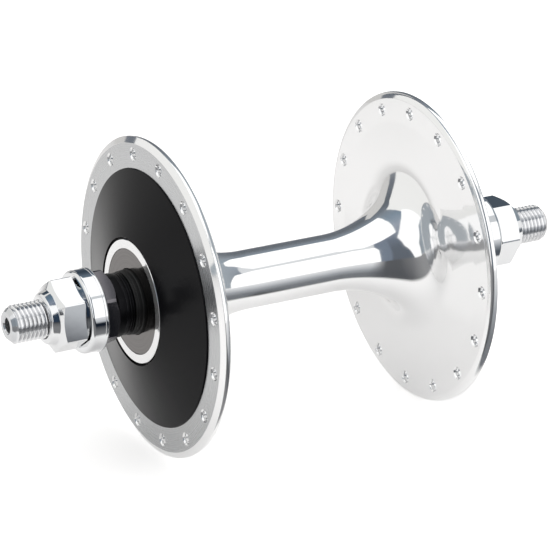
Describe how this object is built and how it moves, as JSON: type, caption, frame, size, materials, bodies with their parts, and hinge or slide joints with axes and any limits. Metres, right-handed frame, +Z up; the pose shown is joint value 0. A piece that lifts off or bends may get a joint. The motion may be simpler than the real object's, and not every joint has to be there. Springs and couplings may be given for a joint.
{
  "type": "bicycle track front hub",
  "caption": "High-flange track front hub: polished shell on loose ball bearings, black flange covers, and a threaded axle with locknuts and captive-washer nuts.",
  "frame": {"origin": "middle of the hub on the axle's centre line, halfway between the locknut faces", "axes": "+Y along the axle towards the right end, +Z up, +X towards the viewer's side; left is the end at -Y"},
  "size_m": [0.075, 0.142, 0.075],
  "materials": {
    "polished_shell": "mirror polished",
    "black_cover": "black anodised, satin",
    "grey_cap": "grey anodised, satin",
    "bearing_steel": "ground",
    "seal_rubber": "matt",
    "black_steel": "black oxide, satin",
    "axle_steel": "zinc plated thread",
    "chrome_steel": "chrome plated, polished"
  },
  "bodies": {
    "axle_unit": {"axle": "axle_steel", "left_cone": "black_steel", "right_cone": "black_steel", "left_seal": "seal_rubber", "right_seal": "seal_rubber", "left_lock_washer": "black_steel", "right_lock_washer": "black_steel", "left_locknut": "black_steel", "right_locknut": "black_steel"},
    "hub_unit": {"hub_shell": "polished_shell", "left_flange_cover": "black_cover", "right_flange_cover": "black_cover", "left_bearing_cup": "bearing_steel", "right_bearing_cup": "bearing_steel", "left_dust_cap": "grey_cap", "right_dust_cap": "grey_cap"},
    "left_balls": {"left_ball_set": "bearing_steel"},
    "left_washer": {"left_nut_washer": "chrome_steel"},
    "left_nut": {"left_axle_nut": "chrome_steel"},
    "right_balls": {"right_ball_set": "bearing_steel"},
    "right_washer": {"right_nut_washer": "chrome_steel"},
    "right_nut": {"right_axle_nut": "chrome_steel"}
  },
  "joints": [
    {"name": "hub_spin", "type": "hinge", "parent": "axle_unit", "child": "hub_unit", "pos_m": [0, 0, 0], "axis": [0, 1, 0], "continuous": true},
    {"name": "left_ball_orbit", "type": "hinge", "parent": "axle_unit", "child": "left_balls", "pos_m": [0, -0.036, 0], "axis": [0, 1, 0], "continuous": true},
    {"name": "left_nut_travel", "type": "slide", "parent": "axle_unit", "child": "left_washer", "axis": [0, -1, 0], "range_m": [0, 0.021]},
    {"name": "left_nut_turn", "type": "hinge", "parent": "left_washer", "child": "left_nut", "pos_m": [0, -0.0578, 0], "axis": [0, -1, 0], "range_deg": [0, 7560]},
    {"name": "right_ball_orbit", "type": "hinge", "parent": "axle_unit", "child": "right_balls", "pos_m": [0, 0.036, 0], "axis": [0, 1, 0], "continuous": true},
    {"name": "right_nut_travel", "type": "slide", "parent": "axle_unit", "child": "right_washer", "axis": [0, 1, 0], "range_m": [0, 0.021]},
    {"name": "right_nut_turn", "type": "hinge", "parent": "right_washer", "child": "right_nut", "pos_m": [0, 0.0578, 0], "axis": [0, 1, 0], "range_deg": [0, 7560]}
  ],
  "couplings": [
    {"joint": "left_ball_orbit", "follows": "hub_spin", "ratio": 0.6},
    {"joint": "left_nut_travel", "follows": "left_nut_turn", "m_per_rad": 0.00015915},
    {"joint": "right_ball_orbit", "follows": "hub_spin", "ratio": 0.6},
    {"joint": "right_nut_travel", "follows": "right_nut_turn", "m_per_rad": 0.00015915}
  ]
}
